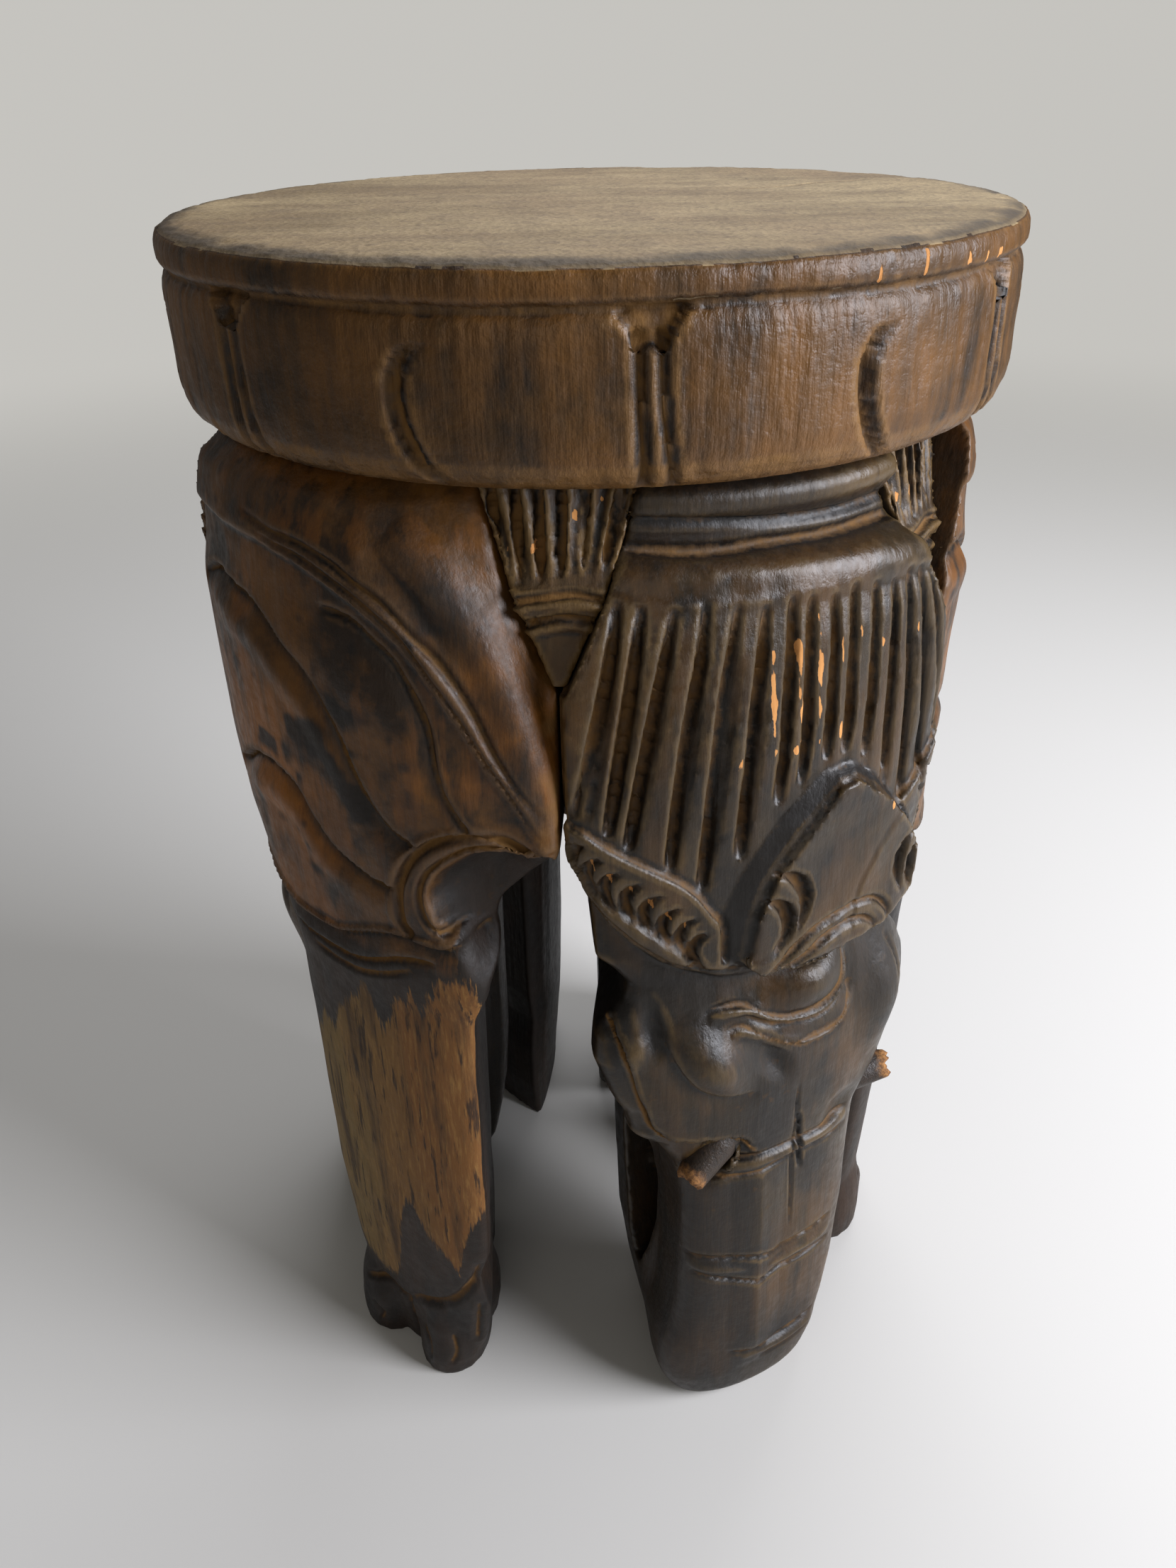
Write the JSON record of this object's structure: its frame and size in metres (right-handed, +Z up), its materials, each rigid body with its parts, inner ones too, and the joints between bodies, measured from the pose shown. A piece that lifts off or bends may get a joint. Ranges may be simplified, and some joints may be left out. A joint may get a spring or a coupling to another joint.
{
  "type": "carved elephant stool",
  "caption": "Round carved wooden stool whose petalled seat stands on alternating elephant-head blocks and clawed leg blocks, with fluted fans between them.",
  "frame": {"origin": "centre of the stool on the floor", "axes": "+Z up along the stool's axis; -Y is the side that faces the picture's camera, a little left of the front elephant; +X to that viewer's right"},
  "size_m": [0.284, 0.284, 0.45],
  "materials": {
    "seat_stain": "dark brown stain, worn to grey-tan end grain on top",
    "cap_stain": "near-black stain with a soft gloss",
    "haunch_stain": "reddish-brown stain, worn to bare orange grain on the legs",
    "fan_stain": "brown stain with ochre dust in the grooves",
    "raw_wood": "raw broken wood",
    "dowel_wood": "plain turned wood"
  },
  "bodies": {
    "root": {"seat": "seat_stain", "fan_core": "fan_stain", "elephant_block_front": "cap_stain", "elephant_block_rear": "cap_stain", "elephant_block_left": "cap_stain", "leg_block_front": "haunch_stain", "leg_block_right": "haunch_stain", "leg_block_rear": "haunch_stain", "tusk_stub_front_left": "raw_wood", "tusk_stub_front_right": "raw_wood", "tusk_stub_rear_left": "raw_wood", "tusk_stub_rear_right": "raw_wood", "tusk_stub_left_left": "raw_wood", "tusk_stub_left_right": "raw_wood", "seat_dowel_elephant_front": "dowel_wood", "seat_dowel_elephant_rear": "dowel_wood", "seat_dowel_elephant_left": "dowel_wood", "seat_dowel_leg_front": "dowel_wood", "seat_dowel_leg_right": "dowel_wood", "seat_dowel_leg_rear": "dowel_wood", "core_dowel_elephant_front": "dowel_wood", "core_dowel_elephant_rear": "dowel_wood", "core_dowel_elephant_left": "dowel_wood", "core_dowel_leg_front": "dowel_wood", "core_dowel_leg_right": "dowel_wood", "core_dowel_leg_rear": "dowel_wood"}
  },
  "joints": []
}
